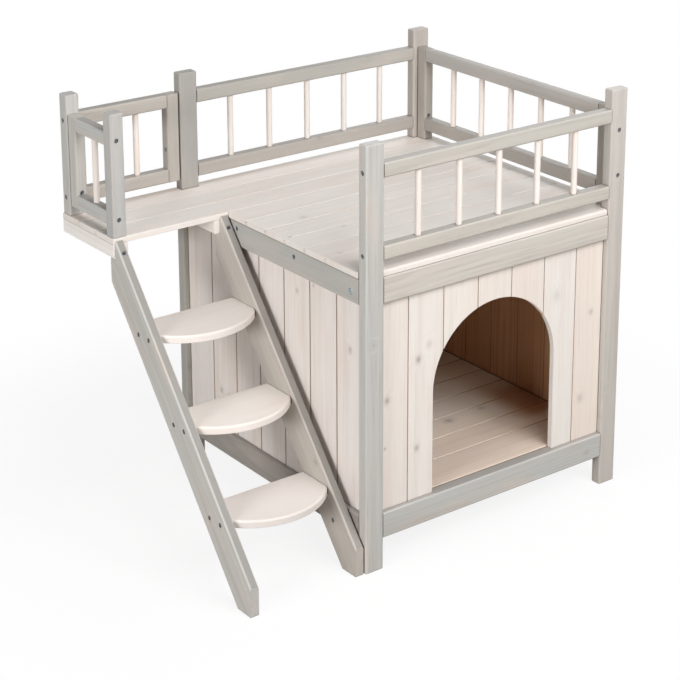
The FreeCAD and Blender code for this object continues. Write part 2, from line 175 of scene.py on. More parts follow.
class Paint:
    """The nodes of one material, which end in a Principled shader."""

    def __init__(self, name):
        self.material = bpy.data.materials.new(name)
        self.material.use_nodes = True
        self.tree = self.material.node_tree
        self.shader = self.tree.nodes["Principled BSDF"]

    def node(self, kind, settings=None, sockets=None, output=0):
        """Add a node: its kind, its settings, the values or links of its sockets, its output."""
        made = self.tree.nodes.new("ShaderNode" + kind)
        for key, value in (settings or {}).items():
            setattr(made, key, value)
        for key, value in (sockets or {}).items():
            self.feed(made.inputs[key], value)
        return Wire(self, made.outputs[output])

    def feed(self, socket, value):
        """Link a wire to a socket, or set the socket to a plain value."""
        if isinstance(value, Wire):
            self.tree.links.new(value.socket, socket)
        else:
            socket.default_value = value

    def finish(self, **sockets):
        """Feed the shader's own sockets, named with underscores for their spaces."""
        for key, value in sockets.items():
            self.feed(self.shader.inputs[key.replace("_", " ")], value)
        return self.material

    def vector(self, operation, *values, output=0):
        """Vector Math on wires and plain triples."""
        return self.node("VectorMath", {"operation": operation}, dict(enumerate(values)), output)

    def dot(self, first, second):
        return self.vector("DOT_PRODUCT", first, second, output="Value")

    def parts(self, vector):
        """The three numbers of a vector."""
        split = self.node("SeparateXYZ", {}, {0: vector}).socket.node
        return [Wire(self, output) for output in split.outputs]

    def mix(self, amount, first, second):
        """Colour that goes from the first to the second as the amount goes from 0 to 1."""
        sockets = {"Factor": amount, 6: first, 7: second}
        return self.node("Mix", {"data_type": "RGBA"}, sockets, 2)


def colour(red, green, blue):
    """An eight-bit screen colour as the linear colour that a socket takes."""
    shares = np.array([red, green, blue]) / 255.0
    linear = np.where(shares > 0.04045, ((shares + 0.055) / 1.055) ** 2.4, shares / 12.92)
    return (*linear.tolist(), 1.0)


print("white of the boards, linear:", [round(c, 3) for c in colour(233, 225, 218)])

# %% [markdown]
# Every piece is sawn from a pine log, so one recipe serves them all. A point is first given in
# the log's own directions: along the grain, across the piece's face and through its thickness.
# The growth rings are circles round the log's heart, which lies a few centimetres behind the
# face. A slow noise bends them into the long arches of flat-sawn pine. Each piece moves the
# heart, so no two pieces match. Where a piece is a whole row of boards, the boards are numbered
# from the place of the first seam and their width, and each gets its own cut.

# %% Where a point lies in the log
x_way = (1.0, 0.0, 0.0)
y_way = (0.0, 1.0, 0.0)
z_way = (0.0, 0.0, 1.0)


class Log:
    """A point's place in the log that a piece was sawn from, as wires of its material."""

    def __init__(self, paint, along, across, middle, seed, board_row):
        """Each distance is the dot product of a direction with the way from the middle.

        In a row, floor((across - seam) / cover) numbers the boards, across is then measured
        from each board's own middle, and to_seam is the way to the nearest seam.
        """
        self.paint = paint
        through = np.cross(across, along).tolist()
        place = paint.node("TexCoord", output="Object")
        self.away = paint.vector("SUBTRACT", place, middle)
        self.length = paint.dot(self.away, along)
        self.width = paint.dot(self.away, across)
        self.depth = paint.dot(self.away, through)
        self.flat = paint.node("CombineXYZ", {}, {"X": self.width, "Y": self.length})
        self.to_seam = None
        number = seed
        if board_row:
            seam, cover = board_row
            steps = (self.width - (seam - float(np.dot(middle, across)))) / cover
            board = steps.floor()
            inside = steps - board - 0.5
            self.width = inside * cover
            self.to_seam = (0.5 - abs(inside)) * cover
            number = board + seed
        settings = {"noise_dimensions": "1D"}
        self.luck = paint.node("TexWhiteNoise", settings, {"W": number}, "Color")

    def stretched(self, long_share, shift=1.0):
        """The point with its length shrunk, so that a pattern on it runs along the grain.

        Luck times the shift moves it, so that no two boards show the same part of the pattern.
        """
        sockets = {"X": self.width, "Y": self.depth, "Z": self.length * long_share}
        point = self.paint.node("CombineXYZ", {}, sockets)
        moved = self.paint.vector("SCALE", self.luck)
        self.paint.feed(moved.socket.node.inputs["Scale"], shift)
        return self.paint.vector("ADD", point, moved)


soft_detail = 2.0
rough_detail = 3.0


def noise(paint, point, size, detail=soft_detail):
    """Noise from 0 to 1 on a point whose axes were already stretched."""
    return paint.node("TexNoise", {}, {"Vector": point, "Scale": size, "Detail": detail}, "Fac")


print("each log has its rings, its heart and its luck")

# %% [markdown]
# Small knots show through the wash as soft grey smudges. A knot is a branch that the board was
# sawn across, so it is an oval that the rings bend round. The ones that catch the eye are
# listed one by one, at places measured from each other. For the rest, Voronoi cells give each
# its place, only some cells hold one, and the cell's random colour decides which and how large.

# %% Knots
knot_spacing = 0.085
knot_scatter = 0.9
knot_radius = 0.0060
knot_smallest = 0.3
knot_faintest = 0.4
knot_stretch = 0.8
knot_ragged = 1.0
knot_grain = 420.0
core_rim = (0.1, 1.25)
core_share = 0.65
halo_rim = (0.4, 2.3)
bend_rim = (0.2, 3.6)
knot_bend = 0.007
far_away = 100.0
set_knots = {
    "front_board_1": [(-0.117, 0.290, 0.9, 0.9)],
    "front_board_2": [(-0.0524, 0.3451, 0.9, 1.0), (-0.055, 0.189, 0.8, 0.9),
                      (-0.030, 0.366, 1.0, 0.4)],
    "front_board_6": [(0.2496, 0.3825, 1.6, 0.3)],
    "front_board_7": [(0.3327, 0.3334, 0.8, 0.6), (0.3124, 0.1762, 1.1, 0.5)],
    "front_bottom_rail": [(0.3237, 0.0722, 0.8, 0.6)],
    "post_front_left": [(-0.1518, 0.3985, 0.7, 0.7)],
    "post_front_right": [(0.354, 0.1299, 0.5, 0.7)],
    "left_wall_boards": [(-0.0769, 0.4298, 0.7, 0.6), (-0.2221, 0.3734, 0.9, 0.7),
                         (0.1575, 0.167, 0.9, 0.7), (0.135, 0.163, 0.7, 0.8)],
    "platform_plank_4": [(-0.0807, 0.0092, 1.0, 0.6)],
    "platform_plank_2": [(-0.0541, -0.0684, 0.8, 0.5)],
    "platform_plank_1": [(-0.1364, -0.1684, 0.8, 0.5)],
    "floor_boards": [(0.1736, -0.0766, 1.4, 0.8), (0.2557, -0.0719, 1.1, 0.6)],
}


def knots(log, share, places):
    """How much of a knot a point has, and how far the knots push the rings aside.

    A shape is the distance from a knot's middle over its radius, so it is 1 on the rim. Noise
    makes the rim ragged. A knot is a dark core in a faint halo.
    """
    paint = log.paint
    squeezed = paint.vector("MULTIPLY", log.flat, (1.0, knot_stretch, 1.0))
    ragged = (noise(paint, squeezed, knot_grain, rough_detail) - 0.5) * knot_ragged
    settings = {"voronoi_dimensions": "2D"}
    sockets = {"Vector": paint.vector("ADD", squeezed, log.luck), "Scale": 1 / knot_spacing,
               "Randomness": knot_scatter}
    near = paint.node("TexVoronoi", settings, sockets, "Distance") * knot_spacing
    pick, large, weak = paint.parts(paint.node("TexVoronoi", settings, sockets, "Color"))
    size = (large * (1 - knot_smallest) + knot_smallest) * knot_radius
    shape = near / size + (pick < 1 - share) * far_away
    dark = knot_shade(shape + ragged) * (weak * (1 - knot_faintest) + knot_faintest)
    for across, along, times, strength in places:
        spot = (across, along * knot_stretch, 0.0)
        gap = paint.vector("DISTANCE", squeezed, spot, output="Value") / (knot_radius * times)
        dark = dark.most(knot_shade(gap + ragged) * strength)
        shape = shape.least(gap)
    return dark, (1 - shape.ramp(*bend_rim)) * knot_bend


def knot_shade(shape):
    """A core that fades at its rim, and a halo twice as wide."""
    core = 1 - shape.ramp(*core_rim)
    halo = 1 - shape.ramp(*halo_rim)
    return core * core_share + halo * (1 - core_share)


print("knots set by hand:", sum(len(places) for places in set_knots.values()))

# %% [markdown]
# The same wood takes several finishes. The boards and planks are thinly whitewashed, the posts
# and rails have a grey stain with warm patches, and the inside is raw pine, which looks brown in
# the dark cabin. A finish here is a set of colours and a few strengths, so the recipe for the
# grain is written once. The wash hides most of the grain: what shows are broad soft streaks, a
# faint ring here and there, and pinkish patches where it is thin. No two timbers took the
# colour alike, so the front boards and the stained pieces that show most have their own tints.
# The stained pieces' tints are partly their own tone and partly painted shade: pieces at the
# back or in shadow, such as the back-left post, the left bottom rail and the right guard's
# stiles, are painted darker than their stain.

# %% Finishes
# In each finish the edge colour is partly wear and partly painted light: paler than the wood it
# is a painted highlight, darker it is painted shade.
whitewash = {
    "base": colour(237, 231, 227), "cool": colour(237, 230, 225), "late": colour(211, 196, 184),
    "knot": colour(152, 138, 128), "patch": colour(234, 219, 209), "worn": colour(232, 219, 207),
    "seam": colour(188, 169, 155), "ring": 0.18, "streak": 0.36, "fibre": 0.2, "knots": 0.66,
    "share": 0.04, "patches": 0.5, "wear": 0.45, "rough": 0.62, "crease_shade": 0.5,
}
plank_white = {**whitewash, "base": colour(236, 229, 223), "cool": colour(235, 230, 224),
               "late": colour(211, 199, 189), "patch": colour(233, 217, 206),
               "worn": colour(235, 229, 222), "ring": 0.08, "streak": 0.2, "fibre": 0.12,
               "knots": 0.5}
tread_white = {**whitewash, "base": colour(237, 230, 225), "cool": colour(236, 229, 223),
               "late": colour(221, 209, 200), "worn": colour(245, 240, 233), "ring": 0.05,
               "streak": 0.2, "fibre": 0.12, "share": 0.0, "wear": 0.8}
front_white = {**whitewash, "seam": colour(232, 215, 203), "wear": 0.1, "ring": 0.12,
               "streak": 0.26}
spindle_cream = {**whitewash, "base": colour(244, 236, 230), "cool": colour(243, 236, 231),
                 "late": colour(226, 208, 194), "worn": colour(245, 238, 232), "share": 0.0}
grey_stain = {
    "base": colour(199, 196, 190), "cool": colour(192, 193, 191), "late": colour(172, 166, 159),
    "knot": colour(146, 134, 122), "patch": colour(208, 197, 188), "worn": colour(178, 174, 168),
    "ring": 0.32, "streak": 0.46, "fibre": 0.42, "knots": 0.5, "share": 0.07, "patches": 0.7,
    "edge": colour(164, 159, 154), "wear": 0.4, "rough": 0.55, "crease_shade": 0.85,
}
floor_wash = {**whitewash, "base": colour(233, 215, 199), "cool": colour(230, 214, 200),
              "late": colour(206, 186, 168), "worn": colour(240, 226, 213), "wear": 0.3,
              "seam": colour(253, 240, 224), "share": 0.08, "crease_shade": 0.9}
board_tints = {
    "front_board_1": colour(237, 229, 223), "front_board_2": colour(238, 233, 228),
    "front_board_3": colour(238, 233, 226), "front_board_4": colour(237, 228, 221),
    "front_board_5": colour(235, 226, 219), "front_board_6": colour(237, 232, 227),
    "front_board_7": colour(237, 226, 217),
}
# Part of these tints is painted shade: pieces at the back or in shadow are painted darker than
# their stain.
timber_tints_and_shade = {
    "post_back_left": colour(167, 165, 160), "post_back_right": colour(190, 182, 174),
    "balcony_back_stile": colour(182, 176, 168), "balcony_back_rails": colour(188, 182, 174),
    "balcony_post_back": colour(193, 192, 189), "balcony_post_front": colour(178, 181, 182),
    "back_guard_spindles": colour(230, 223, 217),
    "back_guard_top_rail": colour(177, 174, 167), "back_guard_low_rail": colour(177, 171, 164),
    "right_guard_top_rail": colour(184, 180, 175), "right_guard_low_rail": colour(165, 159, 152),
    "right_guard_stiles": colour(166, 160, 152), "left_bottom_rail": colour(150, 144, 138),
    "left_header_rail": colour(181, 180, 176), "front_header_rail": colour(206, 201, 193),
    "front_guard_top_rail": colour(194, 190, 182), "front_guard_low_rail": colour(199, 194, 185),
    "ladder_inner_stringer": colour(193, 186, 178), "ladder_tread_1": colour(227, 220, 215),
    "post_front_right": colour(199, 194, 188), "balcony_fascia_batten": colour(247, 243, 239),
}
# The stringers' narrow faces take a darker painted shade:
stringer_edge = colour(147, 143, 139)
print("tints of their own:", len(board_tints) + len(timber_tints_and_shade))

# %% [markdown]
# The ring pattern is the fraction of the distance from the log's heart over the ring's width.
# It rises slowly, as the pale early wood thickens into late wood, and drops at once.

# %% Rings
ring_pitch = 0.0046
ring_wander = 0.016
bend_size = 3.2
bend_long = 0.28
heart_spread = 0.05
heart_near = 0.014
heart_range = 0.045
ring_rise = (0.1, 0.85)
ring_drop = (0.88, 1.0)


def rings(log, push):
    """Late wood from 0 to 1: fract(r / pitch), where r is the bent distance from the heart."""
    aside, behind, _ = log.paint.parts(log.luck)
    bend = noise(log.paint, log.stretched(bend_long), bend_size, rough_detail)
    x = log.width - (aside - 0.5) * heart_spread
    y = log.depth + (behind * heart_range + heart_near)
    away = (x * x + y * y) ** 0.5 + (bend - 0.5) * (2 * ring_wander) + push
    turns = away / ring_pitch
    ring = turns - turns.floor()
    return ring.ramp(*ring_rise) * (1 - ring.ramp(*ring_drop))


print("a ring is", 1000 * ring_pitch, "mm wide")

# %% [markdown]
# The wash goes on first, in the order of the real one: the wood's tint, thin patches, streaks,
# rings and fibres. Each is a mask that blends the skin so far into another colour, so they
# stand in a list. A mask's pair of numbers says where on the noise it begins and where it is
# full.

# %% The wood's marks and the wash
fibre_size = 330.0
fibre_long = 0.035
pore_size = 1500.0
pore_long = 0.03
fine_shift = 7.0
streak_size = 62.0
streak_long = 0.03
streak_shift = 5.0
patch_size = 24.0
patch_long = 0.22
patch_shift = 3.0
patch_range = (0.46, 0.72)
streak_range = (0.48, 0.74)
fibre_range = (0.54, 0.74)
ring_least = 0.25
ring_by_fibre = 0.9


def marks_of(log, share, places):
    """The wood's own marks, each a mask from 0 to 1."""
    paint = log.paint
    dark, push = knots(log, share, places)
    return SimpleNamespace(
        dark=dark,
        late=rings(log, push),
        fibre=noise(paint, log.stretched(fibre_long, fine_shift), fibre_size),
        pore=noise(paint, log.stretched(pore_long, fine_shift), pore_size),
        streak=noise(paint, log.stretched(streak_long, streak_shift), streak_size, rough_detail),
        patch=noise(paint, log.stretched(patch_long, patch_shift), patch_size, rough_detail),
    )


def washed(log, finish, marks):
    """The colour of the washed wood before its knots."""
    paint = log.paint
    tint = paint.parts(log.luck)[2]
    skin = paint.mix(tint, finish["base"], finish["cool"])
    layers = [
        (marks.patch.ramp(*patch_range) * finish["patches"], "patch"),
        (marks.streak.ramp(*streak_range) * finish["streak"], "late"),
        (marks.late * (marks.fibre * ring_by_fibre + ring_least) * finish["ring"], "late"),
        (marks.fibre.ramp(*fibre_range) * finish["fibre"], "late"),
    ]
    for mask, shade in layers:
        skin = paint.mix(mask, skin, finish[shade])
    return skin


print("layers of the wash: patches, streaks, rings, fibres")

# %% [markdown]
# The cabin floor gets painted light and shade. It is painted paler deep inside than by the
# doorway, as painted light. Beside the right wall lies a painted shadow, brown with the light
# that the raw wall throws back, and a painted dark line runs where the floor meets that wall.
# Its seams are light in front and brown in the painted shadow. The places are measured from the
# floor's middle, in metres: aside is to the right, and the others go inwards.

# %% The cabin floor
# Painted light: the floor is painted paler deep inside the cabin.
deep_floor_light = colour(246, 235, 221)
deep_light_inwards = (-0.15, -0.04)
# Painted shadow beside the right wall, brown with the light that the raw wall throws back:
floor_shadow_brown = colour(172, 124, 86)
floor_shadow_aside = (0.150, 0.215)
floor_shadow_inwards = (-0.175, -0.135)
floor_shadow_fades = (-0.06, 0.04)
floor_shadow_fade = 0.65
floor_shadow_strength = 0.9
shadow_seam_aside = (0.11, 0.17)
# Painted shade: a dark line where the floor meets the right wall.
floor_edge_shade_aside = (0.2552, 0.2590)
floor_edge_shade_brown = colour(98, 64, 42)


def floor_wear(log):
    """Masks of the painted light deep inside and of the painted shadow beside the right wall."""
    inwards = log.paint.dot(log.away, y_way)
    kept = 1 - inwards.ramp(*floor_shadow_fades) * floor_shadow_fade
    bare_and_shade = log.length.ramp(*floor_shadow_aside) * inwards.ramp(*floor_shadow_inwards) * kept * floor_shadow_strength
    return inwards.ramp(*deep_light_inwards), bare_and_shade


# The patch is painted shadow.
print("the floor's bare patch begins", round(1000 * floor_shadow_aside[0]), "mm right of its middle")

# %% [markdown]
# Over the wash come the knots, painted shade on the narrow sides of the stained timbers, the tan
# edges of the seams, the bare inside, and the edges. The edges are partly rubbed wash and partly
# painted light: where their colour is paler than the wood it is a painted highlight, and where
# it is darker it is painted shade. The Bevel node tells where an edge is: its normal turns away
# from the face's own there. The same rounded normal goes under the bump of the grain. Last comes
# painted shade in the creases between the pieces: Ambient Occlusion looks a few millimetres
# round each point, and where little of that is open the wood is painted dark.

# %% One recipe for pine
# Painted shade on the narrow faces that face across a stained piece:
narrow_facing = 0.9
narrow_face_shade = 0.85
seam_facing = 0.3
seam_side = 0.004
seam_line = (0.0004, 0.0022)
bleed_range = (0.3, 0.6)
seam_bleed = 0.3
inner_facing = 0.5
inner_half = 0.001
raw_pine = colour(221, 178, 139)
raw_late = colour(178, 130, 92)
raw_ring = 0.4
bevel_samples = 4
edge_radius = 0.0016
edge_turn = (0.01, 0.2)
wear_least = 0.4
# Painted shade in the creases between pieces, where Ambient Occlusion finds little open:
crease_samples = 4
crease_reach = 0.003
crease_range = (0.2, 0.6)
crease_shade_brown = colour(96, 84, 75)
raw_crease_shade = colour(120, 78, 50)
grain_height = 0.00022
grain_bump = 0.5
relief = {"late": 0.35, "fibre": 0.5, "pore": 0.3, "dark": 0.4}
rough_by_fibre = 0.14
rough_less = 0.05
wood_specular = 0.25


def pine(name, finish, along, across, middle, seed, board_row=None, inward=None):
    """A pine material in one finish, whose grain runs along a direction."""
    paint = Paint(name)
    log = Log(paint, along, across, middle, seed, board_row)
    marks = marks_of(log, finish["share"], spots_on(name, along, across, middle))
    is_floor = name == "floor_boards"
    skin = washed(log, finish, marks)
    bare_and_shade = 0.0
    if is_floor:
        deep_light, bare_and_shade = floor_wear(log)
        # Painted light deep inside the cabin.
        skin = paint.mix(deep_light, skin, deep_floor_light)
        # Painted shadow beside the cabin's right wall.
        skin = paint.mix(bare_and_shade, skin, floor_shadow_brown)
    skin = paint.mix(marks.dark * finish["knots"], skin, finish["knot"])

    facing = paint.node("NewGeometry", output="Normal")
    sideways = abs(paint.dot(facing, across))
    # Painted shade: narrow faces across the piece, such as rail tops and stringer edges, are
    # darker.
    if "edge" in finish and along != z_way:
        skin = paint.mix((sideways > narrow_facing) * narrow_face_shade, skin, finish["edge"])
    if inward or is_floor:
        in_seam = (log.to_seam < seam_side) * (sideways > seam_facing)
        beside = 1 - log.to_seam.ramp(*seam_line)
        line = in_seam.most(beside * marks.patch.ramp(*bleed_range) * seam_bleed)
        tan = finish["seam"]
        if is_floor:
            # Painted shade: the floor's seams turn brown inside its painted shadow.
            tan = paint.mix(log.length.ramp(*shadow_seam_aside), tan, floor_shadow_brown)
        skin = paint.mix(line, skin, tan)
    if inward:
        inside = paint.dot(log.away, inward) > inner_half
        bare_and_shade = (paint.dot(facing, inward) > inner_facing).most(inside * in_seam)
        skin = paint.mix(bare_and_shade, skin, paint.mix(marks.late * raw_ring, raw_pine, raw_late))

    rounded = paint.node("Bevel", {"samples": bevel_samples}, {"Radius": edge_radius})
    # Edges: partly rubbed wash, partly painted highlight where paler and painted shade where
    # darker.
    edge = (1 - paint.dot(rounded, facing)).ramp(*edge_turn) * (1 - bare_and_shade)
    edge_patchiness = marks.patch * (1 - wear_least) + wear_least
    skin = paint.mix(edge * edge_patchiness * finish["wear"], skin, finish["worn"])
    # Painted shade: the creases between pieces are painted dark by Ambient Occlusion.
    sockets = {"Distance": crease_reach}
    open_sky = paint.node("AmbientOcclusion", {"samples": crease_samples}, sockets, "AO")
    crease_shade = (1 - open_sky).ramp(*crease_range)
    crease_shade_colour = paint.mix(bare_and_shade, crease_shade_brown, raw_crease_shade)
    skin = paint.mix(crease_shade * finish["crease_shade"], skin, crease_shade_colour)
    # Painted shade: a dark line where the floor meets the right wall.
    if is_floor:
        skin = paint.mix(log.length.ramp(*floor_edge_shade_aside), skin, floor_edge_shade_brown)

    grain = marks.late * relief["late"] + marks.fibre * relief["fibre"]
    height = grain + marks.pore * relief["pore"] - marks.dark * relief["dark"]
    sockets = {"Strength": grain_bump, "Distance": grain_height, "Height": height,
               "Normal": rounded}
    bump = paint.node("Bump", {}, sockets)
    rough = marks.fibre * rough_by_fibre + (finish["rough"] - rough_less)
    return paint.finish(Base_Color=skin, Roughness=rough, Normal=bump,
                        Specular_IOR_Level=wood_specular)


def spots_on(name, along, across, middle):
    """Where the listed knots lie from the middle, across and along the grain.

    On a standing piece they were given as a place across and a height, on a lying one as x and
    y, or as a place along and a height.
    """
    spots = []
    for first, second, times, strength in set_knots.get(name, []):
        place = np.array(middle)
        if name.startswith(("platform", "floor")):
            place[:2] = first, second
        elif name.startswith("left"):
            place[1:] = first, second
        else:
            place[::2] = first, second
        away = place - middle
        spots.append((float(away @ across), float(away @ along), times, strength))
    return spots


print("the recipe takes a finish, a grain direction and a seed")

# %% [markdown]
# Now each piece gets its own cut from the log. Posts, stiles, boards and spindles stand, so
# their grain runs up. Rails and planks lie along the wall that they belong to. The ladder's two
# stringers slope, so their grain is turned with them.

# %% Choose a finish for each piece
ladder_angle = math.radians(50.5)
seed_shift = 0.5
up_ladder = (0.0, math.cos(ladder_angle), math.sin(ladder_angle))
off_ladder = (0.0, -math.sin(ladder_angle), math.cos(ladder_angle))
board_cover = 0.0735
side_first_board = 0.076
back_first_board = 0.0575
front_first_seam = -0.0735
floor_cover = 0.060
floor_first_board = 0.077
left_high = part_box("left_wall_boards")[1]
right_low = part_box("right_wall_boards")[0]
back_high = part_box("back_wall_boards")[1]
floor_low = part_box("floor_boards")[0]
board_rows = {
    "left_wall_boards": (left_high.y - side_first_board, board_cover),
    "right_wall_boards": (right_low.y + side_first_board, board_cover),
    "back_wall_boards": (back_high.x - back_first_board, board_cover),
    "floor_boards": (floor_low.y + floor_first_board, floor_cover),
}
board_rows.update({name: (front_first_seam, board_cover) for name in board_tints})
inward_ways = {"front": (0.0, 1.0, 0.0), "right": (-1.0, 0.0, 0.0),
               "back": (0.0, -1.0, 0.0), "left": (1.0, 0.0, 0.0)}


def dress_choice(name):
    """The finish of a piece, its grain direction and the direction across its widest face."""
    side = name.split("_")[0]
    if "stringer" in name:
        return {**grey_stain, "edge": stringer_edge}, up_ladder, off_ladder
    if "tread" in name:
        return tread_white, x_way, y_way
    if "board" in name and "floor" not in name:
        finish = front_white if side == "front" else whitewash
        return finish, z_way, x_way if side in ("front", "back") else y_way
    if "floor_boards" in name:
        return floor_wash, x_way, y_way
    if "bearers" in name:
        return floor_wash, y_way, x_way
    if "plank" in name:
        return plank_white, x_way, y_way
    if "spindle" in name:
        return spindle_cream, z_way, x_way
    if "post" in name or "stile" in name:
        return grey_stain, z_way, x_way
    if "cleats" in name or "batten" in name:
        return plank_white, y_way, z_way
    lies_along_x = side in ("front", "back") or "balcony_back" in name
    return grey_stain, x_way if lies_along_x else y_way, z_way


# %% Dress the pieces
for seed, name in enumerate(timbers):
    finish, along, across = dress_choice(name)
    if name in board_tints:
        finish = {**finish, "base": board_tints[name], "cool": board_tints[name]}
    if name in timber_tints_and_shade:
        tint = timber_tints_and_shade[name]
        patch = tuple(np.mean([tint, finish["patch"]], axis=0).tolist())
        finish = {**finish, "base": tint, "cool": tint, "patch": patch}
    low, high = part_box(name)
    middle = tuple((low + high) / 2)
    is_wall = name in board_rows and "floor" not in name
    inward = inward_ways[name.split("_")[0]] if is_wall else None
    row = board_rows.get(name)
    made = pine(name, finish, along, across, middle, seed + seed_shift, row, inward)
    nodes[name].material_slots[0].material = made
print("pieces dressed:", len(timbers))

# %% [markdown]
# The screws are countersunk ones of zinc-plated steel with a cross recess, and each sits in its
# own counterbore. The frame has them as plain discs. A head is a profile turned round its axis:
# a flat top with a rolled rim, whose height drops inside a cross.

# %% Find the screw heads
head_reach = 0.012
frame_digits = 6


def heads_in_the_frame():
    """Middle, way out and radius of each head, from the groups of corners in the node."""
    mesh = nodes["screw_heads"].data
    corners = np.zeros(len(mesh.vertices) * 3, np.float32)
    mesh.vertices.foreach_get("co", corners)
    corners = np.unique(corners.reshape(-1, 3).round(frame_digits), axis=0)
    gaps = np.linalg.norm(corners[:, None] - corners[None], axis=2)
    first = np.argmax(gaps < head_reach, axis=1)
    timber = [BVHTree.FromPolygons(*faces_of(name)) for name in timbers]
    found = []
    for group in np.unique(first):
        mine = corners[first == group]
        low, high = mine.min(axis=0), mine.max(axis=0)
        middle = (low + high) / 2
        axis = np.eye(3)[np.argmin(high - low)]
        free = [open_way(timber, middle, axis * sign) for sign in (1, -1)]
        way = axis if free[0] > free[1] else -axis
        found.append((middle, way, (high - low).max() / 2, (high - low).min()))
    return found


def faces_of(name):
    mesh = nodes[name].data
    return [v.co for v in mesh.vertices], [p.vertices[:] for p in mesh.polygons]


def open_way(trees, start, way):
    """How far a point can go in a direction before it meets timber."""
    hits = [tree.ray_cast(Vector(start), Vector(way)) for tree in trees]
    return min([hit[3] for hit in hits if hit[3] is not None], default=1.0)


screws = heads_in_the_frame()
radii = sorted({round(1000 * screw[2], 1) for screw in screws})
print("screw heads:", len(screws), "radii in mm:", radii)

# %% Turn the heads
sides = 40
cross_half_width = 0.00062
cross_reach = 0.0024
cross_depth = 0.0010
cross_wall = (0.7, 1.3)
cross_end = 0.75
dome_rise = 0.0003
rim_start = 0.86
rim_roll = 0.0004
top_drop = 0.0003
plain_radius = 0.0033
level_radius = 0.004
turn_seed = 7
merge_reach = 1e-6
top_shares = np.array([0.0, 0.1, 0.2, 0.3, 0.4, 0.5, 0.6, 0.7, 0.78, 0.86, 0.92, 0.97, 1.0])


def smooth(value, low, high):
    """A smooth rise from 0 at low to 1 at high."""
    t = np.clip((value - low) / (high - low), 0, 1)
    return t * t * (3 - 2 * t)


def screw_head(radius, height):
    """Grid of points: x = r cos(a), y = r sin(a), z = dome(r) - cross(x, y), then the side.

    The second result says how far each point lies in the recess.
    """
    r = radius * top_shares
    dome = dome_rise * (1 - top_shares ** 2) - rim_roll * smooth(top_shares, rim_start, 1.0)
    turn = np.linspace(0, 2 * np.pi, sides, endpoint=False)
    x = np.outer(r, np.cos(turn))
    y = np.outer(r, np.sin(turn))
    scale = radius / plain_radius
    narrow = np.minimum(np.abs(x), np.abs(y)) / scale
    wide = np.maximum(np.abs(x), np.abs(y)) / scale
    wall = [share * cross_half_width for share in cross_wall]
    cross = 1 - smooth(narrow, *wall)
    cross = cross * (1 - smooth(wide, cross_end * cross_reach, cross_reach))
    z = dome[:, None] - cross_depth * cross - top_drop
    top = np.stack([x, y, z], axis=2)
    side = top[-1:].copy()
    side[:, :, 2] = -height
    end = np.zeros_like(side)
    end[:, :, 2] = -height
    recess = np.zeros((len(top) + 2, sides))
    recess[:len(top)] = cross
    return np.concatenate([top, side, end]), recess


def grid_faces(rows, columns):
    """Four-cornered faces of a grid that closes on itself round its columns."""
    i, j = np.meshgrid(np.arange(rows - 1), np.arange(columns), indexing="ij")
    after = (j + 1) % columns
    quads = [i * columns + j, (i + 1) * columns + j, (i + 1) * columns + after,
             i * columns + after]
    return np.stack(quads, axis=2).reshape(-1, 4)


rng = np.random.default_rng(turn_seed)
points = []
faces = []
recesses = []
for middle, way, radius, height in screws:
    head, recess = screw_head(radius, height)
    spin = rng.uniform(0, np.pi / 2)
    first = np.cross(way, np.array(z_way))
    second = np.cross(way, first)
    a = first * np.cos(spin) + second * np.sin(spin)
    b = np.cross(way, a)
    top = middle + way * height / 2
    placed = top + head[..., :1] * a + head[..., 1:2] * b + head[..., 2:] * way
    faces.append(grid_faces(head.shape[0], sides) + sum(len(p) for p in points))
    points.append(placed.reshape(-1, 3))
    recesses.append(recess.ravel())
mesh = bpy.data.meshes.new("screw_heads_turned")
mesh.from_pydata(np.concatenate(points).tolist(), [], np.concatenate(faces).tolist())
level = np.repeat([float(screw[2] > level_radius) for screw in screws], len(points[0]))
mesh.attributes.new("level", "FLOAT", "POINT").data.foreach_set("value", level)
recesses = np.concatenate(recesses)
mesh.attributes.new("recess", "FLOAT", "POINT").data.foreach_set("value", recesses)
mesh.validate()
heads = bpy.data.objects.new("turned_screw_heads", mesh)
bpy.context.scene.collection.objects.link(heads)
print("faces on the heads:", len(mesh.polygons))

# %% [markdown]
# Poles made of many points at one place would shade badly, so the doubles are merged, and then
# the normals are worked out afresh. Zinc is a bluish metal with a dull, blotchy shine. Two
# attributes of the points steer it: `level` marks the large heads, which get a painted
# highlight, and `recess` the cross, which gets painted shade.

# %% Finish the heads
work = bmesh.new()
work.from_mesh(mesh)
bmesh.ops.remove_doubles(work, verts=work.verts, dist=merge_reach)
bmesh.ops.recalc_face_normals(work, faces=work.faces)
work.to_mesh(mesh)
work.free()
mesh.shade_smooth()


blotch_size = 900.0
scratch_size = 4000.0
scratch_height = 0.00005
scratch_bump = 0.3
zinc_dark = colour(84, 92, 100)
zinc_light = colour(142, 153, 162)
# Painted highlight on the large heads:
large_head_highlight = colour(186, 202, 212)
level_share = 0.75
recess_shade = colour(40, 50, 58)
recess_share = 0.8
zinc_metal = 0.9
zinc_rough = 0.3
rough_by_blotch = 0.25


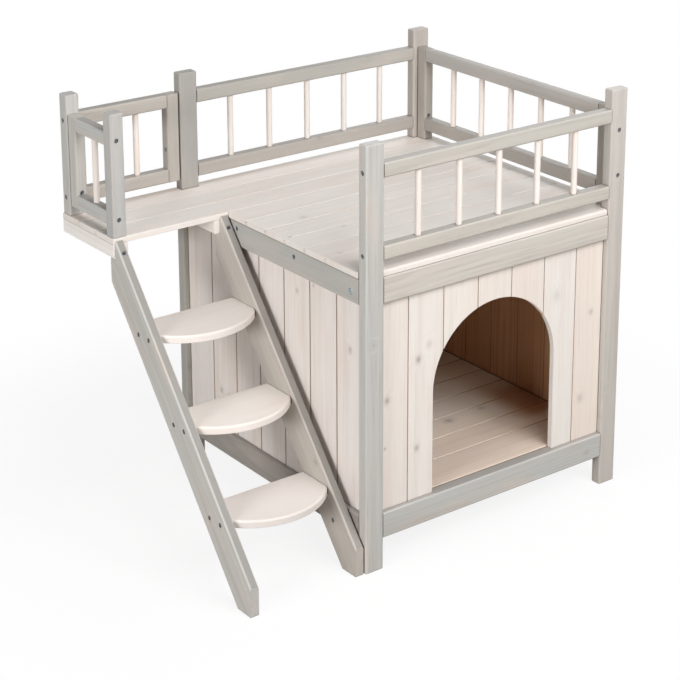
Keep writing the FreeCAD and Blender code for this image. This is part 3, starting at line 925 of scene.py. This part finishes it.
def zinc():
    """Blue-grey zinc plate, painted highlight on the large heads, painted shade in recesses."""
    paint = Paint("zinc_plate")
    place = paint.node("TexCoord", output="Object")
    blotch = noise(paint, place, blotch_size, rough_detail)
    scratch = noise(paint, place, scratch_size)
    skin = paint.mix(blotch, zinc_dark, zinc_light)
    level = paint.node("Attribute", {"attribute_name": "level"}, output="Fac")
    # Painted highlight on the large heads.
    skin = paint.mix(level * level_share, skin, large_head_highlight)
    recess = paint.node("Attribute", {"attribute_name": "recess"}, output="Fac")
    # Painted shade in the cross recess.
    skin = paint.mix(recess * recess_share, skin, recess_shade)
    sockets = {"Strength": scratch_bump, "Distance": scratch_height, "Height": scratch}
    bump = paint.node("Bump", {}, sockets)
    rough = blotch * rough_by_blotch + zinc_rough
    return paint.finish(Base_Color=skin, Metallic=zinc_metal, Roughness=rough, Normal=bump)


mesh.materials.append(zinc())
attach(heads, "root")
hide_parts("screw_heads")
print("heads stand for the node screw_heads")

# %% [markdown]
# The picture stands on pure white. The floor is a pale sheet that takes the shadow, and what
# the camera sees of the world beyond it is white. Both are lifted for the camera only. The
# lift is weaker near the house, where the shadow lies. To the wood the sheet is a dull cream,
# which sends a little warm light back up into the shaded places.

# %% Floor and world
floor_size = 14.0
floor_drop = 0.0002
floor_cream = (0.45, 0.42, 0.385, 1.0)
seen_white = (0.92, 0.92, 0.92, 1.0)
white = (1.0, 1.0, 1.0, 1.0)
near_lift = 0.86
near_reach = 0.5
far_reach = 1.05
world_strength = 0.02

flat = bpy.data.meshes.new("studio_floor")
half = floor_size / 2
flat.from_pydata([(-half, -half, -floor_drop), (half, -half, -floor_drop),
                  (half, half, -floor_drop), (-half, half, -floor_drop)], [], [(0, 1, 2, 3)])
floor = bpy.data.objects.new("studio_floor", flat)
bpy.context.scene.collection.objects.link(floor)
floor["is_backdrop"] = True


def seen_directly(paint):
    """1 for rays that come from the camera, a mirror or glass."""
    rays = paint.node("LightPath").socket.node
    camera_ray, glossy, through = [Wire(paint, rays.outputs[kind]) for kind in
                                   ("Is Camera Ray", "Is Glossy Ray", "Is Transmission Ray")]
    return camera_ray.most(glossy).most(through)


sheet = Paint("studio_floor")
seen = seen_directly(sheet)
grey = sheet.mix(seen, floor_cream, seen_white)
bsdf = Wire(sheet, sheet.shader.outputs[0])
sheet.finish(Base_Color=grey, Roughness=1.0, Specular_IOR_Level=0.0)
glow = sheet.node("Emission", {}, {"Color": white, "Strength": 1.0})
where = sheet.node("TexCoord", output="Object")
away = sheet.vector("LENGTH", where, output="Value").ramp(near_reach, far_reach)
lift = seen * (away * (1 - near_lift) + near_lift)
blend = sheet.node("MixShader", {}, {0: lift, 1: bsdf, 2: glow})
sheet.tree.links.new(blend.socket, sheet.tree.nodes["Material Output"].inputs["Surface"])
flat.materials.append(sheet.material)

world = bpy.data.worlds.new("studio")
bpy.context.scene.world = world
world.use_nodes = True


class WorldPaint(Paint):
    """The same helper on the world's nodes."""

    def __init__(self, holder):
        self.material = holder
        self.tree = holder.node_tree
        self.shader = holder.node_tree.nodes["Background"]


sky = WorldPaint(world)
strength = seen_directly(sky) * (1.0 - world_strength) + world_strength
sky.finish(Color=white, Strength=strength)
print("floor and world are white for the camera")

# %% [markdown]
# Soft boxes stand round the house. A wide, flat one on the left lights the ladder's side: it is
# low, so the treads throw short shadows on the stringer, and nearly square to the wall, so a
# narrow dark strip stays beside the stringer. Two at the front are high enough to lay a patch of
# light deep on the cabin floor. One hangs overhead for the platform, and a weak one at the back
# only serves views from there. A lamp's share is how bright it would make a white card that
# faces it, and its power follows: power = share * pi^2 * distance^2.

# %% Lamps
house_middle = (cad_low + cad_high) / 2


def softbox(name, way, distance, size, share):
    """An area light, wide and high by size, in a direction from the house and turned to it."""
    lamp = bpy.data.lights.new(name, "AREA")
    lamp.shape = "RECTANGLE"
    lamp.size, lamp.size_y = size
    lamp.energy = share * math.pi ** 2 * distance ** 2
    made = bpy.data.objects.new(name, lamp)
    towards = Vector(way).normalized()
    made.location = house_middle + towards * distance
    made.rotation_euler = towards.to_track_quat("Z", "Y").to_euler()
    bpy.context.scene.collection.objects.link(made)
    print(name, "in watts:", round(lamp.energy, 1))


softbox("left_key", (-0.944, -0.271, 0.191), 3.0, (1.4, 0.5), 0.56)
softbox("front_high", (-0.065, -0.740, 0.669), 2.6, (1.5, 1.5), 0.54)
softbox("front_right", (0.321, -0.795, 0.515), 2.6, (1.5, 1.5), 0.37)
softbox("overhead", (-0.05, -0.15, 1.0), 2.9, (1.5, 1.5), 0.23)
softbox("back_fill", (0.75, 0.65, 0.12), 3.4, (1.6, 1.6), 0.5)

# %% [markdown]
# The photograph was taken from the front left, a little above the platform, from about three
# and a half metres. Its frame is a crop, so the lens is shifted instead of turned: upright
# edges then stay upright in the same way as in the photograph.

# %% Camera
frame_pixels = 680
focal_pixels = 1935.64
centre_pixels = (361.9, 92.98)
camera_place = (-1.88483, -2.51920, 1.60432)
camera_down = 15.62
camera_turn = -37.33
camera = bpy.data.cameras.new("photo_camera")
camera.sensor_width = 36.0
camera.lens = focal_pixels * camera.sensor_width / frame_pixels
camera.shift_x = (frame_pixels / 2 - centre_pixels[0]) / frame_pixels
camera.shift_y = (centre_pixels[1] - frame_pixels / 2) / frame_pixels
camera.clip_end = 50.0
viewer = bpy.data.objects.new("photo_camera", camera)
viewer.location = camera_place
viewer.rotation_euler = (math.radians(90 - camera_down), 0.0, math.radians(camera_turn))
bpy.context.scene.collection.objects.link(viewer)
bpy.context.scene.camera = viewer
bpy.context.scene.view_settings.view_transform = "Standard"
print("lens in millimetres:", round(camera.lens, 2))

# %% Check the size
low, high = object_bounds()
print("grown by, in mm:", [round(1000 * ((b - a) - (d - c)), 2)
                           for a, b, c, d in zip(low, high, cad_low, cad_high)])
